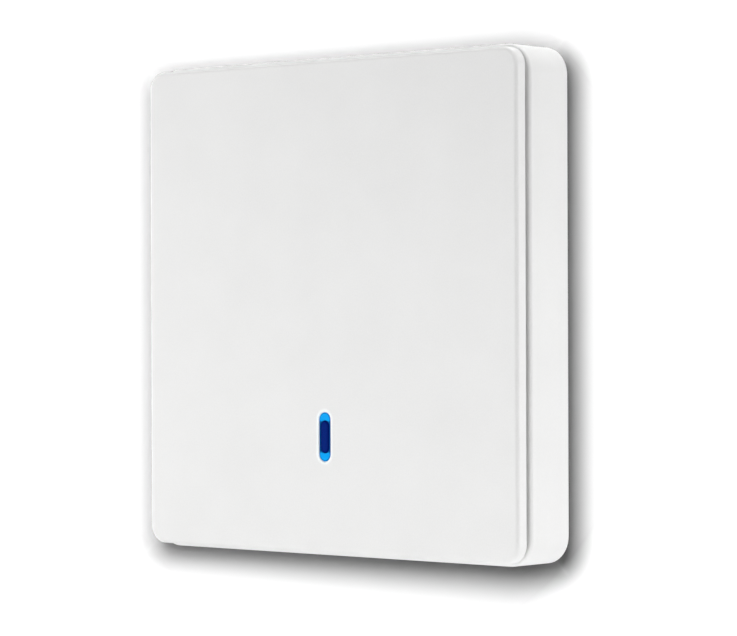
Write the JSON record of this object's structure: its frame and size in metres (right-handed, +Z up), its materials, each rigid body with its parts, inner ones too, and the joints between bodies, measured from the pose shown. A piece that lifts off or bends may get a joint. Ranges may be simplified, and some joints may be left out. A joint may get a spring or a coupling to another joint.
{
  "type": "wireless remote wall switch",
  "caption": "Square battery-powered radio wall switch: a shallow housing with one large rocking key over a thin reveal and an upright blue indicator.",
  "frame": {"origin": "centre of the housing's flat back, where it meets the wall", "axes": "+Y into the wall, so the key faces -Y; +Z up the wall; +X to the right as seen from the front"},
  "size_m": [0.086, 0.0128, 0.086],
  "materials": {
    "housing_white": "satin moulded",
    "key_white": "satin, fine texture",
    "frame_white": "satin moulded",
    "light_blue": "clear tinted",
    "dark_blue": "polished",
    "board_green": "lacquered",
    "black_plastic": "fine matt",
    "switch_button": "satin",
    "led_white": "glossy",
    "spring_steel": "bright",
    "tinned_metal": "tinned",
    "cell_steel": "brushed",
    "screw_steel": "zinc plated",
    "aerial_copper": "bare",
    "capacitor_tan": "ceramic"
  },
  "bodies": {
    "base": {"rear_housing": "housing_white", "middle_frame": "frame_white", "key_return_leaves": "spring_steel", "circuit_board": "board_green", "board_screws": "screw_steel", "tact_switch_base": "black_plastic", "tact_switch_cover": "tinned_metal", "tact_switch_dome": "spring_steel", "tact_switch_terminals": "tinned_metal", "indicator_led": "led_white", "coin_cell": "cell_steel", "battery_holder": "black_plastic", "battery_contact_positive": "tinned_metal", "battery_contact_negative": "tinned_metal", "encoder_chip": "black_plastic", "encoder_chip_leads": "tinned_metal", "resonator_can": "tinned_metal", "rf_transistor": "black_plastic", "chip_capacitors": "capacitor_tan", "chip_resistors": "black_plastic", "aerial_loop": "aerial_copper"},
    "key": {"rocker_key": "key_white", "indicator_lens": "light_blue", "indicator_core": "dark_blue"},
    "plunger": {"tact_switch_plunger": "switch_button"}
  },
  "joints": [
    {"name": "key_press", "type": "hinge", "parent": "base", "child": "key", "pos_m": [0, -0.0086, 0.037], "axis": [1, 0, 0], "range_deg": [0, 0.2949], "stiffness_Nm_per_rad": 2, "springref_deg": -1.72, "deforming": ["key_return_leaves", "tact_switch_dome"]},
    {"name": "plunger_slide", "type": "slide", "parent": "base", "child": "plunger", "axis": [0, 1, 0], "range_m": [0, 0.00036], "deforming": ["tact_switch_dome"]}
  ],
  "couplings": [
    {"joint": "plunger_slide", "follows": "key_press", "m_per_rad": 0.068}
  ]
}
